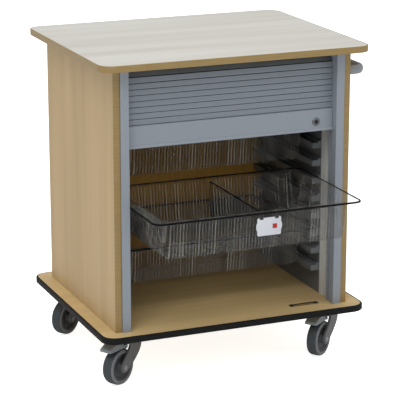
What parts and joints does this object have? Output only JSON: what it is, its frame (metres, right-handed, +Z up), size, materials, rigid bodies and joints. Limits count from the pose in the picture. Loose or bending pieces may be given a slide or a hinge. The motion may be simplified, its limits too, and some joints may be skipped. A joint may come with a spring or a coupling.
{
  "type": "tray storage unit",
  "caption": "Mobile classroom storage unit with a roll-up tambour shutter, pull-out clear trays on side runners, a push handle and braked swivel casters.",
  "frame": {"origin": "on the floor, under the middle of the whole unit with its middle tray pulled out", "axes": "+X to the right seen from the front, +Y to the back, +Z up"},
  "size_m": [0.795, 0.7742, 0.89],
  "materials": {
    "worktop_laminate": "satin laminate",
    "edge_band": "satin edge band",
    "maple_board": "matt maple decor board",
    "bumper_black": "matt",
    "extrusion_grey": "satin painted extrusion",
    "slat_grey": "fine matt",
    "lock_metal": "polished",
    "runner_white": "matt",
    "tray_clear": "clear, slightly frosted",
    "label_white": "satin",
    "clip_dark": "satin",
    "tab_red": "satin",
    "handle_grey": "satin powder coat",
    "caster_steel": "zinc plated",
    "core_grey": "matt",
    "tyre_blue_grey": "matt rubber",
    "housing_grey": "satin moulded nylon",
    "pedal_grey": "satin"
  },
  "bodies": {
    "carcass": {"back_panel": "maple_board", "base_board": "maple_board", "base_bumper": "bumper_black", "caster_bolts": "caster_steel", "caster_plates": "caster_steel", "curtain_track_left": "slat_grey", "curtain_track_right": "slat_grey", "false_back": "maple_board", "panel_edging_left": "edge_band", "panel_edging_right": "edge_band", "push_handle": "handle_grey", "side_panel_left": "maple_board", "side_panel_right": "maple_board", "strike_plate": "lock_metal", "track_post_left": "extrusion_grey", "track_post_right": "extrusion_grey", "tray_liner_left": "runner_white", "tray_liner_right": "runner_white", "tray_runners_left": "runner_white", "tray_runners_right": "runner_white", "worktop": "worktop_laminate", "worktop_edging": "edge_band"},
    "shutter": {"tambour_slats": "slat_grey", "lock_rail": "extrusion_grey", "rail_end_glides": "slat_grey", "lock_housing": "lock_metal"},
    "lock_barrel": {"lock_plug": "lock_metal", "lock_cam": "lock_metal"},
    "lower_tray": {"tray_lower": "tray_clear"},
    "upper_tray": {"tray_upper": "tray_clear"},
    "middle_tray": {"tray_middle": "tray_clear", "tray_divider": "tray_clear", "label_holder": "label_white", "label_clips": "clip_dark", "label_tab": "tab_red"},
    "fork_front_left": {"caster_fork_front_left": "housing_grey", "caster_axle_front_left": "caster_steel"},
    "wheel_front_left": {"wheel_core_front_left": "core_grey", "tyre_front_left": "tyre_blue_grey"},
    "fork_front_right": {"caster_fork_front_right": "housing_grey", "caster_axle_front_right": "caster_steel"},
    "wheel_front_right": {"wheel_core_front_right": "core_grey", "tyre_front_right": "tyre_blue_grey"},
    "fork_rear_left": {"caster_fork_rear_left": "housing_grey", "caster_axle_rear_left": "caster_steel"},
    "wheel_rear_left": {"wheel_core_rear_left": "core_grey", "tyre_rear_left": "tyre_blue_grey"},
    "fork_rear_right": {"caster_fork_rear_right": "housing_grey", "caster_axle_rear_right": "caster_steel"},
    "wheel_rear_right": {"wheel_core_rear_right": "core_grey", "tyre_rear_right": "tyre_blue_grey"},
    "pedal_front_left": {"brake_pedal_front_left": "pedal_grey"},
    "pedal_front_right": {"brake_pedal_front_right": "pedal_grey"}
  },
  "joints": [
    {"name": "shutter_slide", "type": "slide", "parent": "carcass", "child": "shutter", "axis": [0, 0, 1], "range_m": [-0.14, 0.105], "deforming": ["tambour_slats"]},
    {"name": "lock_turn", "type": "hinge", "parent": "shutter", "child": "lock_barrel", "pos_m": [0.2445, -0.17485, 0.677], "axis": [0, -1, 0], "range_deg": [0, 90]},
    {"name": "lower_tray_slide", "type": "slide", "parent": "carcass", "child": "lower_tray", "axis": [0, -1, 0], "range_m": [0, 0.368]},
    {"name": "middle_tray_slide", "type": "slide", "parent": "carcass", "child": "middle_tray", "axis": [0, -1, 0], "range_m": [-0.289, 0.079]},
    {"name": "upper_tray_slide", "type": "slide", "parent": "carcass", "child": "upper_tray", "axis": [0, -1, 0], "range_m": [0, 0.368]},
    {"name": "swivel_front_left", "type": "hinge", "parent": "carcass", "child": "fork_front_left", "pos_m": [-0.3075, -0.16285, 0.1196], "axis": [0, 0, 1], "continuous": true},
    {"name": "roll_front_left", "type": "hinge", "parent": "fork_front_left", "child": "wheel_front_left", "pos_m": [-0.34007, -0.18242, 0.05], "axis": [0.515, -0.8572, 0], "continuous": true},
    {"name": "brake_front_left", "type": "hinge", "parent": "fork_front_left", "child": "pedal_front_left", "pos_m": [-0.32636, -0.17418, 0.106], "axis": [0.515, -0.8572, 0], "range_deg": [0, 6]},
    {"name": "swivel_front_right", "type": "hinge", "parent": "carcass", "child": "fork_front_right", "pos_m": [0.2925, -0.16285, 0.1196], "axis": [0, 0, 1], "continuous": true},
    {"name": "roll_front_right", "type": "hinge", "parent": "fork_front_right", "child": "wheel_front_right", "pos_m": [0.26256, -0.18624, 0.05], "axis": [0.6157, -0.788, 0], "continuous": true},
    {"name": "brake_front_right", "type": "hinge", "parent": "fork_front_right", "child": "pedal_front_right", "pos_m": [0.27516, -0.17639, 0.106], "axis": [0.6157, -0.788, 0], "range_deg": [0, 6]},
    {"name": "swivel_rear_left", "type": "hinge", "parent": "carcass", "child": "fork_rear_left", "pos_m": [-0.3075, 0.28315, 0.1196], "axis": [0, 0, 1], "continuous": true},
    {"name": "roll_rear_left", "type": "hinge", "parent": "fork_rear_left", "child": "wheel_rear_left", "pos_m": [-0.339, 0.2619, 0.05], "axis": [0.5592, -0.829, 0], "continuous": true},
    {"name": "swivel_rear_right", "type": "hinge", "parent": "carcass", "child": "fork_rear_right", "pos_m": [0.2925, 0.28315, 0.1196], "axis": [0, 0, 1], "continuous": true},
    {"name": "roll_rear_right", "type": "hinge", "parent": "fork_rear_right", "child": "wheel_rear_right", "pos_m": [0.26176, 0.26081, 0.05], "axis": [0.5878, -0.809, 0], "continuous": true}
  ]
}
